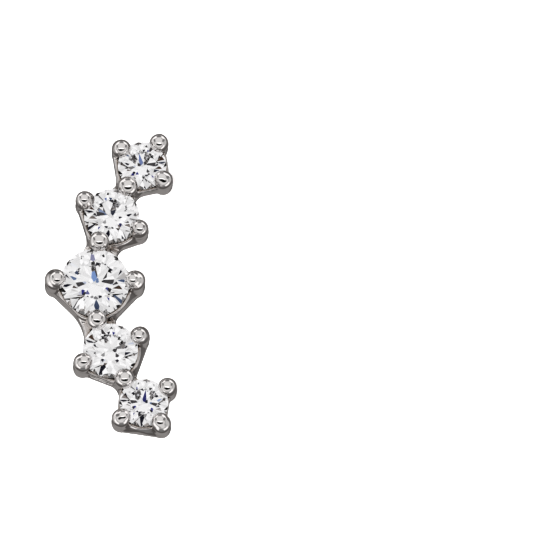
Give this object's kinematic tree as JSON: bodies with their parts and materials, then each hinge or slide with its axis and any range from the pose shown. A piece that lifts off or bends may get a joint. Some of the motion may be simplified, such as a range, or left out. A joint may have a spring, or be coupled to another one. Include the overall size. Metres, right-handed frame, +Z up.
{
  "type": "bar stud earring",
  "caption": "Curved bar stud earring: graduated round stones in shared-prong baskets, with a straight ear post behind.",
  "frame": {"origin": "centre of the bounding box, on the surface that the earring lies on", "axes": "+X along the row of stones towards its upper end, +Z up from the surface, -Y the way the stones face"},
  "size_m": [0.0132, 0.0118, 0.0059],
  "materials": {
    "silver": "polished rhodium-plated silver",
    "clear_stone": "polished facets"
  },
  "bodies": {
    "root": {"setting": "silver", "stone_upper_end": "clear_stone", "stone_upper_mid": "clear_stone", "stone_centre": "clear_stone", "stone_lower_mid": "clear_stone", "stone_lower_end": "clear_stone"}
  },
  "joints": []
}
